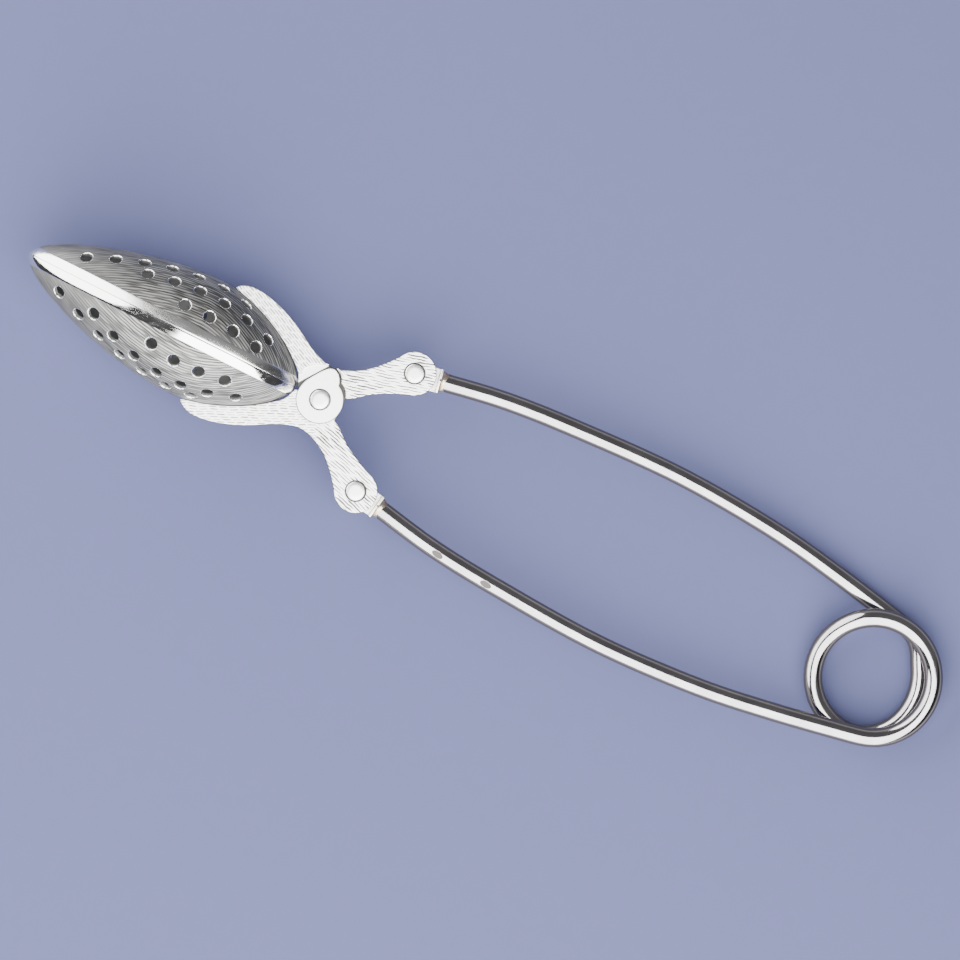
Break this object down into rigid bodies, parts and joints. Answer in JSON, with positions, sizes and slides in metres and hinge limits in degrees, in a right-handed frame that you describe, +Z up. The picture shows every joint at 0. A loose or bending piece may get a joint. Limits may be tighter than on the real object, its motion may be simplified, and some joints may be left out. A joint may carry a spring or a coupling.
{
  "type": "tea infuser tongs",
  "caption": "Tea infuser tongs: two perforated half shells on riveted levers, opened by squeezing a sprung wire handle.",
  "frame": {"origin": "on the surface the tongs lie on, under the middle of their box", "axes": "+X along the tongs, from the infuser to the coil; +Z up, away from the table; the two halves part across the XZ plane"},
  "size_m": [0.16, 0.0324, 0.0201],
  "materials": {
    "satin_silver": "silver with a fine brushed line",
    "polished_silver": "polished silver",
    "engraved_silver": "bright silver with engraved lines",
    "wire_silver": "drawn silver wire, lightly polished",
    "solder_silver": "silver solder, slightly warm and dull"
  },
  "bodies": {
    "lower_half": {"lower_shell": "satin_silver", "lower_rim": "polished_silver", "lower_lever": "engraved_silver", "lower_link_rivet": "polished_silver", "main_rivet": "polished_silver"},
    "upper_half": {"upper_shell": "satin_silver", "upper_rim": "polished_silver", "upper_lever": "engraved_silver", "upper_link_rivet": "polished_silver"},
    "lower_handle": {"lower_link_bracket": "satin_silver", "lower_ferrule": "solder_silver", "lower_arm": "wire_silver", "coil": "wire_silver"},
    "upper_handle": {"upper_link_bracket": "satin_silver", "upper_ferrule": "solder_silver", "upper_arm": "wire_silver"}
  },
  "joints": [
    {"name": "main_pivot", "type": "hinge", "parent": "lower_half", "child": "upper_half", "pos_m": [-0.02858, 0, 0.00883], "axis": [-0.0541, 0, -0.9985], "range_deg": [0, 50], "stiffness_Nm_per_rad": 0.055, "springref_deg": -14.32},
    {"name": "lower_link", "type": "hinge", "parent": "lower_half", "child": "lower_handle", "pos_m": [-0.01707, -0.01037, 0.00821], "axis": [-0.0541, 0, -0.9985], "range_deg": [0, 29]},
    {"name": "coil_flex", "type": "hinge", "parent": "lower_handle", "child": "upper_handle", "pos_m": [0.06898, 0, 0.00354], "axis": [0.0541, 0, 0.9985], "range_deg": [0, 8], "deforming": ["coil"]}
  ],
  "couplings": [
    {"joint": "lower_link", "follows": "main_pivot", "ratio": 0.5774},
    {"joint": "coil_flex", "follows": "main_pivot", "ratio": 0.15479}
  ]
}
